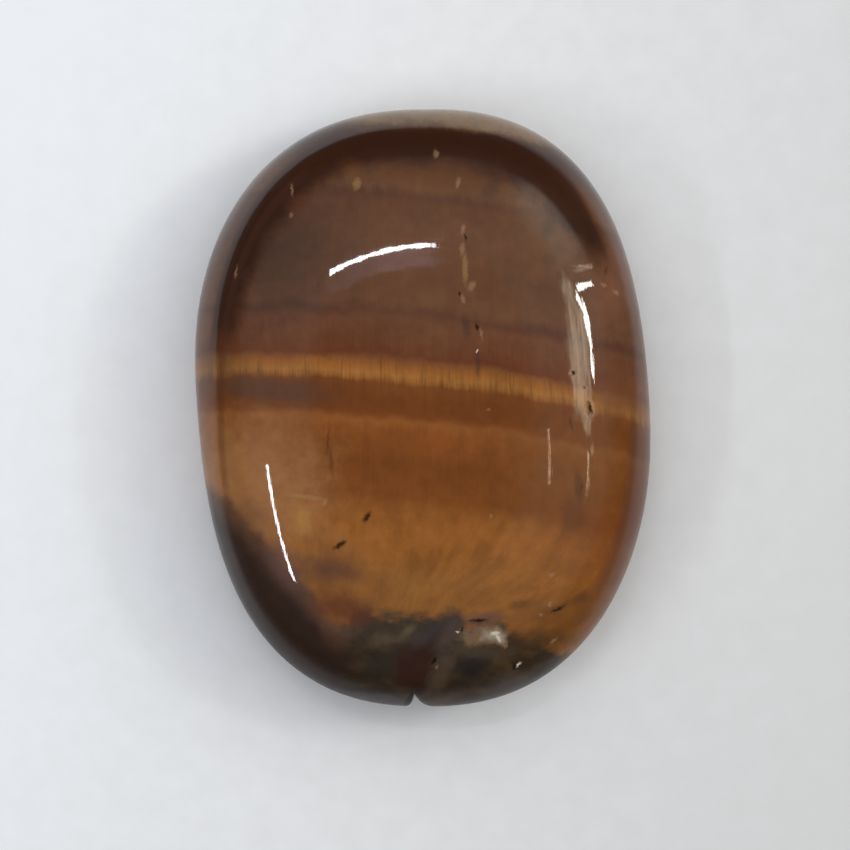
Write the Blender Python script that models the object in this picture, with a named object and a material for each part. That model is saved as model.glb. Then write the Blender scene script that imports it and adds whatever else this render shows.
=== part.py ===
"""A polished oval tiger's eye stone, 40 mm long, lying on its flat underside.

The stone is one solid. Its top is a low dome, its edge is a full round, and its underside ends in a
flat. Long axis along Y, dome up along Z, and the middle of the underside at the origin. Metres.
"""

import math

import bmesh
import bpy
import numpy as np

# The outline seen from above: an oval a little squarer than an ellipse
HALF_WIDTH = 0.01515
HALF_LENGTH = 0.0200
SQUARENESS = 2.4
# Waves that hand grinding left in the outline: how many to a turn, height, and where the crest is
EDGE_WAVES = (
    (2, 0.00021, math.radians(-91)),
    (3, 0.00010, math.radians(100)),
    (4, 0.00013, math.radians(-77)),
    (5, 0.00004, math.radians(-44)),
)

# The section: from the widest line up over the dome, and down round the edge to the flat
GIRDLE_HEIGHT = 0.0040
DOME_RISE = 0.0064
DOME_POWER = 3.4
FLAT_SHARE = 0.74

# The notch in the lower end, where a soft dark vein meets the edge: one steep side and one easy side
NOTCH_DIRECTION = math.radians(268.3)
NOTCH_DEPTH = 0.00085
NOTCH_STEEP_WIDTH = 0.00020
NOTCH_EASY_WIDTH = 0.00050
NOTCH_POWER = 1.15
NOTCH_LEAN = 0.80
NOTCH_SOFTNESS = 0.25

# Shallow hollows in the dome: centre x and y, half length, half width, turn from +X, depth
HOLLOWS = {
    "vein groove": (0.00060, -0.01640, 0.0029, 0.00055, math.radians(56), 0.00016),
    "end dimple": (0.00440, -0.01590, 0.0016, 0.00085, math.radians(-12), 0.00017),
}

# How finely the surface is divided
AROUND = 132
DOME_RINGS = 25
EDGE_RINGS = 8
NOTCH_CROWDING = 18.0
NOTCH_CROWDING_WIDTH = math.radians(2.4)
AROUND_SAMPLES = 14400

STONE_COLOUR = (0.20, 0.075, 0.018, 1.0)
STONE_ROUGHNESS = 0.08


def clear_scene():
    """Removes the objects that the startup file holds."""
    for old in list(bpy.data.objects):
        bpy.data.objects.remove(old, do_unlink=True)


def outline_radius(direction):
    """Distance from the middle to the outline in a direction: a superellipse plus the edge waves."""
    across = abs(math.cos(direction)) / HALF_WIDTH
    along = abs(math.sin(direction)) / HALF_LENGTH
    radius = (across**SQUARENESS + along**SQUARENESS) ** (-1 / SQUARENESS)
    return radius + sum(height * math.cos(count * direction - crest) for count, height, crest in EDGE_WAVES)


def directions_around():
    """Directions of the section lines, even round the stone but crowded together at the notch."""
    fine = np.linspace(0, 2 * math.pi, AROUND_SAMPLES + 1)
    off = (fine - NOTCH_DIRECTION) / NOTCH_CROWDING_WIDTH
    crowding = 1 + NOTCH_CROWDING * np.exp(-(off**2))
    share = np.concatenate([[0], np.cumsum((crowding[1:] + crowding[:-1]) / 2)])
    return np.interp(np.arange(AROUND) / AROUND, share / share[-1], fine)


def section_points():
    """(share of the outline's radius, height) from near the dome's crown to the flat.

    The dome is height = DOME_RISE * sqrt(1 - share ** DOME_POWER), and the edge under it is a
    quarter of an ellipse. Both are given by the angle that runs from 0 at the widest line.
    """
    for ring in range(1, DOME_RINGS + 1):
        even = ring / DOME_RINGS
        angle = math.pi / 2 * (1 - even**0.62)
        share = math.cos(angle) ** (2 / DOME_POWER)
        yield share, GIRDLE_HEIGHT + DOME_RISE * math.sin(angle)
    for ring in range(1, EDGE_RINGS + 1):
        angle = math.pi / 2 * ring / EDGE_RINGS
        share = FLAT_SHARE + (1 - FLAT_SHARE) * math.cos(angle)
        yield share, GIRDLE_HEIGHT * (1 - math.sin(angle))


def notch_cut(direction, inset):
    """How far the notch draws the surface in, where the surface lies a given inset from the outline.

    Seen from above the notch is a sharp V. Its walls are nearly upright, so it runs out above and
    below the edge as soon as the surface itself lies further in than the V does.
    """
    off = math.remainder(direction - NOTCH_DIRECTION, 2 * math.pi) * HALF_LENGTH
    width = NOTCH_EASY_WIDTH if off > 0 else NOTCH_STEEP_WIDTH
    at_edge = NOTCH_DEPTH * math.exp(-(abs(off / width) ** NOTCH_POWER))
    if at_edge < 1e-7:
        return 0.0
    left = 1 - NOTCH_LEAN * inset / at_edge
    return at_edge * (left + math.hypot(left, NOTCH_SOFTNESS)) / 2


def hollow_depth(x, y):
    """How deep the hollows are at a point of the dome: each is a soft bowl, longer than wide."""
    depth = 0.0
    for centre_x, centre_y, half_length, half_width, turn, deepest in HOLLOWS.values():
        along = (x - centre_x) * math.cos(turn) + (y - centre_y) * math.sin(turn)
        across = -(x - centre_x) * math.sin(turn) + (y - centre_y) * math.cos(turn)
        depth += deepest * math.exp(-((along / half_length) ** 2) - (across / half_width) ** 2)
    return depth


def surface_point(direction, share, height, on_dome):
    """The stone's surface where a section line meets a ring, with the notch and the hollows in it."""
    outline = outline_radius(direction)
    radius = outline * share - notch_cut(direction, outline * (1 - share))
    x, y = radius * math.cos(direction), radius * math.sin(direction)
    return x, y, height - hollow_depth(x, y) if on_dome else height


def middle_of_outline(directions):
    """The middle of the outline's bounding box, which the origin stands under."""
    edge = [surface_point(d, 1.0, GIRDLE_HEIGHT, False) for d in directions]
    xs, ys = [p[0] for p in edge], [p[1] for p in edge]
    return (min(xs) + max(xs)) / 2, (min(ys) + max(ys)) / 2


def stone_mesh():
    """Rings of points lofted from the crown over the edge to the flat, closed by the flat's face."""
    directions = directions_around()
    middle_x, middle_y = middle_of_outline(directions)
    shape = bmesh.new()
    crown_height = GIRDLE_HEIGHT + DOME_RISE - hollow_depth(0, 0)
    crown = shape.verts.new((-middle_x, -middle_y, crown_height))
    rings = []
    for number, (share, height) in enumerate(section_points(), start=1):
        points = (surface_point(d, share, height, number <= DOME_RINGS) for d in directions)
        rings.append([shape.verts.new((x - middle_x, y - middle_y, z)) for x, y, z in points])
    for step in range(AROUND):
        after = (step + 1) % AROUND
        shape.faces.new((crown, rings[0][step], rings[0][after]))
        for upper, lower in zip(rings, rings[1:]):
            shape.faces.new((upper[step], lower[step], lower[after], upper[after]))
    shape.faces.new(list(reversed(rings[-1])))
    bmesh.ops.recalc_face_normals(shape, faces=shape.faces)
    mesh = bpy.data.meshes.new("stone")
    shape.to_mesh(mesh)
    shape.free()
    mesh.shade_smooth()
    return mesh


def polished_stone():
    """The brown gloss of the polished stone."""
    material = bpy.data.materials.new("polished tiger's eye")
    material.use_nodes = True
    surface = material.node_tree.nodes["Principled BSDF"]
    surface.inputs["Base Color"].default_value = STONE_COLOUR
    surface.inputs["Roughness"].default_value = STONE_ROUGHNESS
    surface.inputs["Metallic"].default_value = 0.0
    return material


def main():
    clear_scene()
    mesh = stone_mesh()
    mesh.materials.append(polished_stone())
    stone = bpy.data.objects.new("stone", mesh)
    bpy.context.scene.collection.objects.link(stone)


main()
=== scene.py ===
"""A polished oval tiger's eye stone on pale paper, seen from straight above.

The stone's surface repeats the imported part's formulas on a finer grid, with the small pits of the
polish cut into it. Its finish is worked out inside the solid: bands, fibres, veins and flecks are
functions of the place in the stone, so they run on round the edge and over the underside.
Lengths are in millimetres until a mesh, lamp or camera is made, and then in metres.
"""

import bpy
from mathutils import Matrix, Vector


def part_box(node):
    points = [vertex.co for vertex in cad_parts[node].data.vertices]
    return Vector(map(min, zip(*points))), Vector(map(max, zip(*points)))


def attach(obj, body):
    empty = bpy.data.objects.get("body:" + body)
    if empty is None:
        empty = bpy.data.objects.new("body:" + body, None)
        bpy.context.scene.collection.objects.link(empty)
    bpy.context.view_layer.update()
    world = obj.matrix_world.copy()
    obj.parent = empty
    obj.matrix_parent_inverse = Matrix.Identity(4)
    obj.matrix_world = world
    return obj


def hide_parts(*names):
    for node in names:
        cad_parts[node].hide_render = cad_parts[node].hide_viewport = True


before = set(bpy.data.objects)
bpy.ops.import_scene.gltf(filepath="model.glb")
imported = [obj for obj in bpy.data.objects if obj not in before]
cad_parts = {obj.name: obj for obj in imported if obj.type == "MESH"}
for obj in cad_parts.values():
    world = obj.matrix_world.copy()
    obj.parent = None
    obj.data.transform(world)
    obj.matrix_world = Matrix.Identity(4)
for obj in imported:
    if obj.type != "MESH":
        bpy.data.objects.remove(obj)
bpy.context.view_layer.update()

import logging
import math
from dataclasses import dataclass
from enum import Enum
from functools import reduce

import bpy
import numpy as np

logging.basicConfig(level=logging.INFO, format="%(message)s")
report = logging.getLogger("tiger eye stone")

MM = 0.001
PATCH_HEIGHT = 6.0  # height of the middle of every patch
RIGHT_THROUGH = 60.0  # half height of a patch, which goes right through the stone
MARK_HALF_HEIGHT = 1.1

Pair = tuple[float, float]
Triple = tuple[float, float, float]
Curve = tuple[Pair, ...]
ScreenColour = tuple[int, int, int]
Colour = tuple[float, float, float, float]
Socket = bpy.types.NodeSocket
Feed = Socket | float | tuple[float, ...]


def seen(red: float, green: float, blue: float) -> Colour:
    """Turns a colour as a screen shows it into the light it stands for.

    Each part is ((part / 255 + 0.055) / 1.055) to the power 2.4, or part / 255 / 12.92 where dark.

    Args:
        red: Red from 0 to 255.
        green: Green from 0 to 255.
        blue: Blue from 0 to 255.

    Returns:
        The colour as linear red, green, blue and a full alpha.
    """
    parts = [part / 255 for part in (red, green, blue)]
    light = [((p + 0.055) / 1.055) ** 2.4 if p > 0.04045 else p / 12.92 for p in parts]
    return light[0], light[1], light[2], 1.0


class NodeDesk:
    """Adds shader nodes to one tree, so that a formula reads as a row of method calls."""

    def __init__(self, tree: bpy.types.NodeTree) -> None:
        """Keeps the tree that the nodes go into."""
        self.tree = tree

    def add(self, kind: str, feeds: dict[int | str, Feed], **settings: object) -> bpy.types.Node:
        """Adds one node.

        Args:
            kind: Blender's name for the node type.
            feeds: What goes into each input, by its name or number: another node's socket or a value.
            settings: The node's own settings.

        Returns:
            The new node.
        """
        node = self.tree.nodes.new(kind)
        for name, value in settings.items():
            setattr(node, name, value)
        self.feed(node, feeds)
        return node

    def feed(self, node: bpy.types.Node, feeds: dict[int | str, Feed]) -> None:
        """Puts sockets and values into a node's inputs.

        Args:
            node: The node.
            feeds: What goes into each input, by its name or number.
        """
        for slot, value in feeds.items():
            if isinstance(value, Socket):
                self.tree.links.new(value, node.inputs[slot])
            else:
                node.inputs[slot].default_value = value

    def math(self, operation: str, *values: Feed) -> Socket:
        """One step of arithmetic on one, two or three numbers."""
        return self.add("ShaderNodeMath", dict(enumerate(values)), operation=operation).outputs[0]

    def total(self, *values: Feed) -> Socket:
        """The sum of two or more numbers."""
        return reduce(lambda left, right: self.math("ADD", left, right), values)

    def times(self, *values: Feed) -> Socket:
        """The product of two or more numbers."""
        return reduce(lambda left, right: self.math("MULTIPLY", left, right), values)

    def vector(self, operation: str, *values: Feed) -> Socket:
        """One step of arithmetic on places or directions, which gives another one."""
        return self.add("ShaderNodeVectorMath", dict(enumerate(values)), operation=operation).outputs[0]

    def measure(self, operation: str, *values: Feed) -> Socket:
        """One step of arithmetic on places or directions, which gives a number."""
        return self.add("ShaderNodeVectorMath", dict(enumerate(values)), operation=operation).outputs[1]

    def split(self, place: Feed) -> tuple[Socket, ...]:
        """The three parts of a place."""
        return tuple(self.add("ShaderNodeSeparateXYZ", {0: place}).outputs)

    def join(self, x: Feed, y: Feed, z: Feed) -> Socket:
        """A place from its three parts."""
        return self.add("ShaderNodeCombineXYZ", {0: x, 1: y, 2: z}).outputs[0]

    def rise(self, value: Feed, low: float, high: float, top: float = 1.0) -> Socket:
        """A soft step: 0 below the low value, up an S curve, and the top value from the high value on."""
        feeds = {0: value, 1: low, 2: high, 3: 0.0, 4: top}
        return self.add("ShaderNodeMapRange", feeds, interpolation_type="SMOOTHSTEP").outputs[0]

    def fall(self, value: Feed, low: float, high: float, top: float = 1.0) -> Socket:
        """A soft step down: the top value below the low value, and 0 from the high value on."""
        feeds = {0: value, 1: low, 2: high, 3: top, 4: 0.0}
        return self.add("ShaderNodeMapRange", feeds, interpolation_type="SMOOTHSTEP").outputs[0]

    def mix(self, share: Feed, under: Feed, over: Feed) -> Socket:
        """One colour laid over another by a share from 0 to 1."""
        return self.add("ShaderNodeMix", {0: share, 6: under, 7: over}, data_type="RGBA").outputs[2]

    def scaled(self, colour: Feed, times: Feed) -> Socket:
        """A colour made lighter or darker by a factor."""
        return self.add("ShaderNodeHueSaturation", {"Color": colour, "Value": times}).outputs[0]

    def noise(self, place: Feed, finest: Triple, detail: float = 2.0,
              rough: float = 0.5) -> Socket:
        """Cloudy noise about 0.5, stretched by its own number of lumps to the millimetre each way.

        Args:
            place: The place in the stone, in millimetres.
            finest: Lumps to the millimetre along X, Y and Z.
            detail: How many finer layers are laid over the first.
            rough: How strong each finer layer is beside the last.

        Returns:
            The noise, mostly from 0.3 to 0.7.
        """
        stretched = self.vector("MULTIPLY", place, finest)
        feeds = {"Vector": stretched, "Scale": 1.0, "Detail": detail, "Roughness": rough}
        return self.add("ShaderNodeTexNoise", feeds).outputs[0]

    def lookup(self, value: Feed, points: Curve) -> Socket:
        """A value looked up in a row of points that straight lines join.

        Args:
            value: What is looked up.
            points: Pairs of a looked-up value and its result, the first of them rising.

        Returns:
            The result.
        """
        start, end = points[0][0], points[-1][0]
        low, high = min(point[1] for point in points), max(point[1] for point in points)
        share = self.math("MULTIPLY_ADD", value, 1 / (end - start), -start / (end - start))
        node = self.add("ShaderNodeFloatCurve", {1: share})
        curve = node.mapping.curves[0]
        places = [((x - start) / (end - start), (y - low) / (high - low)) for x, y in points]
        curve.points[0].location, curve.points[-1].location = places[0], places[-1]
        for spot in places[1:-1]:
            curve.points.new(*spot)
        for point in curve.points:
            point.handle_type = "VECTOR"
        node.mapping.update()
        return self.math("MULTIPLY_ADD", node.outputs[0], high - low, low)

    def inside(self, place: Feed, corners: tuple[Pair, ...]) -> Socket:
        """How far a place lies inside a straight-edged body: the least distance from its sides.

        Args:
            place: The place in the stone, in millimetres.
            corners: The body's corners from above, anticlockwise.

        Returns:
            The distance in millimetres, below 0 outside.
        """
        least: Feed = 99.0
        for (x, y), (x_next, y_next) in zip(corners, corners[1:] + corners[:1]):
            length = math.hypot(x_next - x, y_next - y)
            inward = ((y - y_next) / length, (x_next - x) / length, 0.0)
            along = self.measure("DOT_PRODUCT", place, inward)
            from_side = self.math("SUBTRACT", along, x * inward[0] + y * inward[1])
            least = self.math("MINIMUM", from_side, least)
        return least

    def centred(self, noise: Feed, reach: float) -> Socket:
        """Noise about 0.5 turned into noise about 0, scaled so that 0.7 becomes the reach."""
        return self.math("MULTIPLY_ADD", noise, 5.0 * reach, -2.5 * reach)

    def ellipse(self, place: Feed, middle: Triple,
                halves: Triple, turn: float) -> Socket:
        """Distance from an ellipsoid's middle, as 1 on its skin.

        Args:
            place: The place in the stone, in millimetres.
            middle: Middle of the ellipsoid.
            halves: Its half length, half width and half height.
            turn: Turn of its length from +X, in degrees.

        Returns:
            The distance in half sizes.
        """
        cosine, sine = math.cos(math.radians(turn)), math.sin(math.radians(turn))
        axes = (
            (cosine / halves[0], sine / halves[0], 0.0),
            (-sine / halves[1], cosine / halves[1], 0.0),
            (0.0, 0.0, 1 / halves[2]),
        )
        local = self.join(*(self.measure("DOT_PRODUCT", place, axis) for axis in axes))
        centre = tuple(sum(m * part for m, part in zip(middle, axis)) for axis in axes)
        return self.measure("DISTANCE", local, centre)


class MarkKind(Enum):
    """The sorts of small mark in the polish, each with its colour on a screen and its strength.

    A GLINT is not a mark but a painted highlight: a spot of light painted into the colour.
    """

    PIT = (26, 15, 9), 0.88
    CRACK = (58, 34, 20), 0.42
    STAIN = (62, 44, 36), 0.46
    HAZE = (172, 136, 84), 0.38
    FLECK = (158, 122, 92), 0.50
    # Painted highlight: a glint is a spot of light painted into the colour.
    GLINT = (224, 213, 194), 0.85

    def __init__(self, colour: ScreenColour, strength: float) -> None:
        """Keeps the colour, and how much of it is laid over the stone, from 0 to 1."""
        self.colour, self.strength = colour, strength


@dataclass(frozen=True)
class Mark:
    """One small mark in the dome: a pit, crack, stain, haze or fleck, or a glint, which is a painted
    highlight.

    Attributes:
        name: What the mark is, which labels its node.
        kind: Its sort, which gives its colour.
        middle: X and Y of its middle, in millimetres.
        halves: Half length and half width, in millimetres.
        turn: Turn of its length from +X, in degrees.
        depth: How deep it is cut into the surface, in millimetres.
    """

    name: str
    kind: MarkKind
    middle: Pair
    halves: Pair
    turn: float
    depth: float = 0.0


@dataclass(frozen=True)
class Patch:
    """A broad soft-edged area of another colour, which goes right through the stone.

    Attributes:
        name: What the patch is, which labels its node.
        middle: X and Y of its middle, in millimetres.
        halves: Half length and half width, in millimetres.
        turn: Turn of its length from +X, in degrees.
        colour: Its colour as a screen shows it.
        strength: How much of that colour is laid over what is under it, from 0 to 1.
        soft: How wide its edge is, as a share of its half sizes.
    """

    name: str
    middle: Pair
    halves: Pair
    turn: float
    colour: ScreenColour
    strength: float
    soft: float


@dataclass(frozen=True)
class Facet:
    """A straight-edged body of another mineral, which goes right through the stone.

    The pale patch at the end and its bright core are painted light instead: a painted reflection and a
    painted highlight.

    Attributes:
        name: What the body is, which labels its node.
        corners: Its corners from above, anticlockwise and bulging everywhere, in millimetres.
        colour: Its colour as a screen shows it.
        strength: How much of that colour is laid over what is under it, from 0 to 1.
        soft: Half the width of its soft edge, in millimetres.
    """

    name: str
    corners: tuple[Pair, ...]
    colour: ScreenColour
    strength: float
    soft: float


@dataclass(frozen=True)
class Hollow:
    """A shallow bowl in the dome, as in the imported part.

    Attributes:
        middle: X and Y from the outline's pole, in millimetres.
        halves: Half length and half width, in millimetres.
        turn: Turn of its length from +X, in degrees.
        depth: Depth in the middle, in millimetres.
    """

    middle: Pair
    halves: Pair
    turn: float
    depth: float


MARKS = (
    Mark("pale fleck, head of the fleck line", MarkKind.FLECK, (2.62, 11.60), (0.39, 0.17), 80),
    Mark("pit, head of the fleck line", MarkKind.PIT, (2.79, 11.07), (0.24, 0.10), 95, 0.015),
    Mark("pale fleck below the pit", MarkKind.FLECK, (2.56, 10.29), (0.46, 0.18), 80),
    Mark("fleck line, faint upper part", MarkKind.HAZE, (2.75, 9.04), (1.18, 0.21), 92),
    Mark("smear beside the fleck line", MarkKind.FLECK, (3.20, 7.87), (0.39, 0.26), 60),
    Mark("pit, middle of the fleck line", MarkKind.PIT, (2.39, 7.35), (0.18, 0.09), 90, 0.012),
    Mark("pale fleck, middle", MarkKind.FLECK, (2.62, 7.02), (0.36, 0.14), 110),
    Mark("smudge on the fleck line", MarkKind.STAIN, (2.81, 5.27), (0.98, 0.33), 95),
    Mark("pit, low on the fleck line", MarkKind.PIT, (3.53, 5.20), (0.26, 0.11), 95, 0.015),
    Mark("pale streak beside the low pit", MarkKind.FLECK, (3.82, 4.75), (0.43, 0.10), 100),
    # Painted highlight.
    Mark("glint, foot of the fleck line", MarkKind.GLINT, (3.53, 3.64), (0.16, 0.07), 90),
    Mark("dark streak, foot of the fleck line", MarkKind.STAIN, (3.59, 2.73), (1.05, 0.20), 92),
    Mark("pit in the gold", MarkKind.PIT, (-3.62, -7.15), (0.42, 0.22), 55, 0.03),
    Mark("dash in the gold", MarkKind.PIT, (-5.39, -8.98), (0.56, 0.20), 32, 0.03),
    Mark("hairline crack, upper", MarkKind.CRACK, (-6.16, -2.14), (1.05, 0.11), 85),
    Mark("hairline crack, lower", MarkKind.CRACK, (-5.96, -3.57), (1.05, 0.16), 95),
    Mark("fleck, upper left, long", MarkKind.FLECK, (-8.59, 14.28), (0.46, 0.10), 92),
    Mark("fleck, upper left, short", MarkKind.FLECK, (-8.63, 12.59), (0.20, 0.16), 90),
    Mark("fleck, left side", MarkKind.FLECK, (-12.28, 8.90), (0.46, 0.10), 85),
    Mark("yellow fleck, upper middle", MarkKind.HAZE, (-4.30, 14.60), (0.46, 0.29), 80),
    Mark("fleck, top middle", MarkKind.FLECK, (0.87, 16.62), (0.33, 0.22), 88),
    Mark("fleck, top right of middle", MarkKind.FLECK, (2.31, 14.65), (0.39, 0.18), 75),
    Mark("pale dot under the second line", MarkKind.FLECK, (4.31, -0.19), (0.11, 0.07), 0),
    Mark("pale dot in the gold", MarkKind.FLECK, (4.44, -7.08), (0.14, 0.10), 60),
    Mark("pale dot, lower right", MarkKind.FLECK, (8.38, -10.97), (0.26, 0.15), 25),
    Mark("pale dot by the inclusions", MarkKind.FLECK, (7.75, -13.62), (0.12, 0.16), 80),
    Mark("pale dot above the inclusions", MarkKind.FLECK, (8.34, -12.90), (0.20, 0.18), 80),
    Mark("inclusion, right", MarkKind.CRACK, (8.94, -13.18), (0.95, 0.30), 24),
    Mark("inclusion's dark core", MarkKind.PIT, (8.86, -13.26), (0.55, 0.12), 24),
    Mark("inclusion, far right", MarkKind.STAIN, (10.41, -12.49), (0.85, 0.42), 32),
    Mark("inclusion, left of the amber", MarkKind.CRACK, (6.49, -12.87), (0.95, 0.34), 12),
    Mark("dark dash over the pale patch", MarkKind.PIT, (3.61, -13.94), (0.70, 0.11), 3, 0.01),
    Mark("pit beside the end glint", MarkKind.PIT, (6.05, -17.13), (0.24, 0.16), 60, 0.02),
    # Painted highlights: the end glint and the glint on the arm.
    Mark("end glint", MarkKind.GLINT, (6.32, -16.97), (0.24, 0.09), 48),
    Mark("glint on the blue grey arm", MarkKind.GLINT, (2.27, -14.70), (0.10, 0.08), 60),
    Mark("pit by the arm's glint", MarkKind.PIT, (2.57, -14.57), (0.24, 0.12), 70, 0.012),
    Mark("pale blue glint", MarkKind.STAIN, (0.67, -15.50), (0.26, 0.16), 10),
    Mark("glint by the wedge", MarkKind.FLECK, (0.94, -17.07), (0.18, 0.09), 45),
    Mark("pit by the wedge", MarkKind.PIT, (0.74, -16.66), (0.36, 0.12), 60, 0.012),
    # Painted highlights: the glints and tail of the white patch are light painted into the colour.
    Mark("painted highlight, upper edge of the white patch", MarkKind.GLINT, (4.73, -14.82), (0.36, 0.15), 5),
    Mark("painted highlight, right edge of the white patch", MarkKind.GLINT, (4.96, -15.16), (0.38, 0.12), -62),
    Mark("painted highlight, tail of the white patch", MarkKind.FLECK, (5.37, -15.67), (0.22, 0.18), -45),
    Mark("dark smudge, upper right", MarkKind.STAIN, (4.40, 14.20), (0.92, 0.59), 45),
    Mark("grey smudge, upper right edge", MarkKind.STAIN, (8.33, 11.92), (0.98, 0.52), 75),
    Mark("side pit, upper", MarkKind.PIT, (9.80, 2.23), (0.14, 0.11), -30, 0.012),
    Mark("side pit, right", MarkKind.PIT, (10.56, 1.28), (0.12, 0.07), -60, 0.01),
    Mark("side slot, left", MarkKind.CRACK, (10.03, 0.27), (0.43, 0.08), -82),
    Mark("side pit, long", MarkKind.PIT, (10.96, -0.06), (0.52, 0.14), -76, 0.02),
    Mark("side pit's rim", MarkKind.FLECK, (10.73, -0.64), (0.46, 0.08), -68),
    Mark("side slot, lower", MarkKind.CRACK, (9.67, -1.10), (0.52, 0.08), -75),
    Mark("side scar, lower", MarkKind.STAIN, (10.20, -5.21), (1.11, 0.36), 97),
    Mark("side scar's crack", MarkKind.CRACK, (10.40, -5.22), (0.40, 0.10), 75),
    Mark("red glint, upper", MarkKind.FLECK, (11.88, 8.03), (0.26, 0.16), -20),
    Mark("red glint, lower", MarkKind.FLECK, (12.74, 7.57), (0.29, 0.13), -35),
    Mark("dark mark by the red glints", MarkKind.CRACK, (12.07, 8.97), (0.40, 0.14), 80),
    Mark("pale streak in the left gold", MarkKind.HAZE, (-7.60, -5.85), (1.25, 0.16), -8),
    Mark("pale streak, hooked end", MarkKind.HAZE, (-6.35, -6.20), (0.30, 0.12), 60),
    Mark("pale streak, lower right", MarkKind.FLECK, (8.62, -15.41), (0.39, 0.09), 36),
)

PATCHES = (
    Patch("paler gold of the left side", (-12.0, -4.8), (6.0, 4.4), 0, (172, 120, 72), 0.70, 0.8),
    Patch("duller gold of the right side", (9.8, -4.0), (5.0, 3.6), 0, (118, 77, 39), 0.55, 0.8),
    Patch("dull end of the golden stripe", (-13.4, 2.9), (1.8, 1.0), -4, (96, 68, 44), 0.50, 0.9),
    Patch("grey brown under the golden stripe", (-10.4, 1.2), (4.9, 0.95), -5, (86, 58, 42), 0.72, 0.7),
    Patch("dull right end of the stripe", (12.8, 0.4), (2.4, 1.2), -6, (114, 74, 44), 0.70, 0.8),
    Patch("lighter brown of the upper middle", (0.2, 8.4), (4.6, 5.6), 0, (116, 78, 54), 0.38, 0.9),
    Patch("dark brown of the upper left", (-9.8, 10.4), (4.4, 4.8), -8, (67, 43, 33), 0.76, 0.95),
    Patch("red brown of the upper left", (-8.4, 13.8), (0.7, 2.2), 5, (94, 46, 22), 0.40, 0.9),
    Patch("olive brown of the upper right", (8.2, 11.6), (3.6, 2.6), -40, (114, 82, 53), 0.50, 0.9),
    Patch("red brown of the right shoulder", (12.6, 8.0), (1.8, 2.8), -14, (130, 86, 66), 0.50, 0.9),
    Patch("brown of the lower right end", (9.2, -13.9), (2.7, 1.7), 20, (100, 61, 34), 0.50, 0.9),
    Patch("dark brown scar, lower right", (9.9, -7.2), (1.0, 1.5), -5, (94, 55, 28), 0.65, 0.8),
    Patch("red brown of the lower right", (11.6, -9.5), (2.2, 3.6), -14, (118, 64, 32), 0.50, 0.9),
    Patch("yellow gold, lower left", (-7.9, -7.3), (0.6, 1.1), 12, (176, 128, 60), 0.60, 0.9),
)

END_PATCHES = (
    Patch("brown shade over the smoke", (-11.3, -7.0), (1.7, 1.0), -20, (108, 72, 50), 0.50, 0.9),
    # Painted light: a soft pinkish glow round the left highlight, painted into the colour.
    Patch("painted glow round the left highlight, lower left", (-9.2, -10.3), (1.9, 1.2), -50, (98, 68, 62), 0.60, 0.9),
    Patch("brown cloud, lower left", (-5.9, -10.6), (2.2, 1.0), -8, (86, 50, 34), 0.75, 0.9),
    Patch("orange brown below the cloud", (-5.3, -13.1), (2.3, 1.2), -12, (98, 48, 18), 0.85, 0.7),
    Patch("olive gleam, upper", (-0.96, -14.63), (0.75, 0.32), 40, (108, 92, 62), 0.45, 0.9),
    Patch("olive gleam, lower", (-2.54, -15.17), (1.10, 0.42), 8, (98, 82, 56), 0.45, 0.9),
    Patch("dark olive, right of the pale patch", (7.6, -15.3), (2.4, 0.85), 0, (74, 53, 32), 0.75, 0.8),
    Patch("olive band below the pale patch", (3.4, -16.0), (2.1, 0.5), 0, (74, 58, 38), 0.75, 0.7),
    Patch("blue black hollow", (3.2, -17.3), (1.4, 1.3), 10, (30, 30, 31), 0.75, 0.9),
    Patch("grey brown of the lower edge", (5.7, -18.4), (1.6, 0.9), 15, (80, 70, 66), 0.60, 0.8),
    # Painted shade: a dark line where the bottom rim turns dark.
    Patch("painted shade, dark line over the lip", (-2.9, -18.75), (2.6, 0.26), -4, (30, 23, 21), 0.75, 0.8),
    # Painted reflection: the purple grey of the bottom rim mirroring the paper.
    Patch("painted reflection, purple grey lip beside the notch", (-2.7, -19.6), (2.6, 0.62), -7, (74, 62, 64), 0.90, 0.4),
    Patch("shadowed wall of the notch", (-0.80, -19.46), (0.80, 0.34), 60, (22, 14, 12), 0.95, 0.5),
    Patch("grey cloud over the dash", (4.2, -13.75), (1.4, 0.45), 3, (92, 66, 60), 0.65, 0.8),
)

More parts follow.
